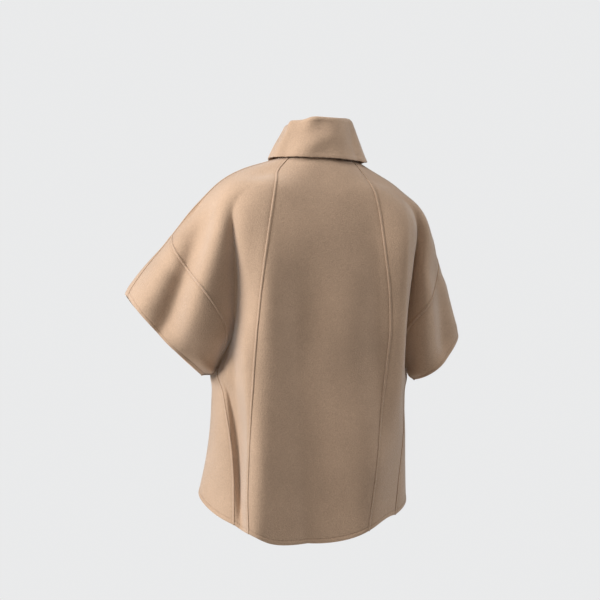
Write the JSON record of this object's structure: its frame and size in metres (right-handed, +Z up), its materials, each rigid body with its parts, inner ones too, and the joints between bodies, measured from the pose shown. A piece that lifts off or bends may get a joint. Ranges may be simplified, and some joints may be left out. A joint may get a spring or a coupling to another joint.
{
  "type": "wool cape",
  "caption": "Short open cape of thick felted wool with elbow sleeves, a tall rolled collar and long back seams, kept in its worn hollow form.",
  "frame": {"origin": "middle of the neck seam, where the wearer's neck leaves the garment", "axes": "+Z up along the wearer's back, +X towards the wearer's left, -Y towards the wearer's front"},
  "size_m": [0.6591, 0.249, 0.8098],
  "materials": {
    "camel_wool": "felted double-faced wool, matt with a short nap"
  },
  "bodies": {
    "root": {"back_center": "camel_wool", "back_side_left": "camel_wool", "back_side_right": "camel_wool", "front_left": "camel_wool", "front_right": "camel_wool", "sleeve_back_left": "camel_wool", "sleeve_back_right": "camel_wool", "sleeve_front_left": "camel_wool", "sleeve_front_right": "camel_wool", "collar": "camel_wool"}
  },
  "joints": []
}
